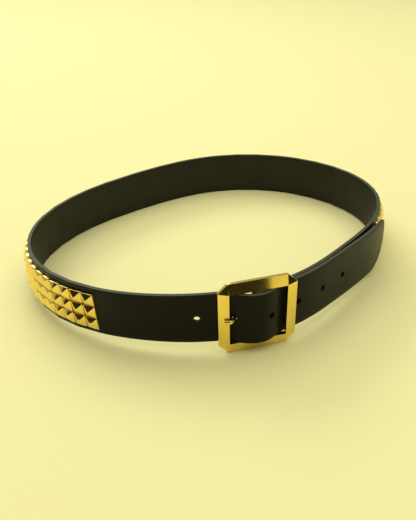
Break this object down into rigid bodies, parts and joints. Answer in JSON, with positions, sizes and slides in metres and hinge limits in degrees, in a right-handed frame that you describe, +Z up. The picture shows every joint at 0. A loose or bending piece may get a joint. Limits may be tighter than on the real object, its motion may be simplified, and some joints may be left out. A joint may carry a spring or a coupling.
{
  "type": "studded belt",
  "caption": "Buckled studded belt standing on its edge: plain strap, square gold-coloured buckle with prong, rows of pyramid studs, free end beside the loop.",
  "frame": {"origin": "middle of the belt's box, on the surface that it stands on", "axes": "+Z up, along the strap's width; the buckle is at the front, towards -Y, with the free end to its right, towards +X"},
  "size_m": [0.291, 0.2606, 0.0548],
  "materials": {
    "strap_leather": "smooth satin black, flat cut edges",
    "stud_gold": "pressed sheet, bright gold-coloured plating",
    "buckle_gold": "cast, polished, bright gold-coloured plating"
  },
  "bodies": {
    "root": {"strap": "strap_leather", "studs": "stud_gold", "buckle_frame": "buckle_gold", "prong": "buckle_gold", "fold_rivet": "buckle_gold"}
  },
  "joints": []
}
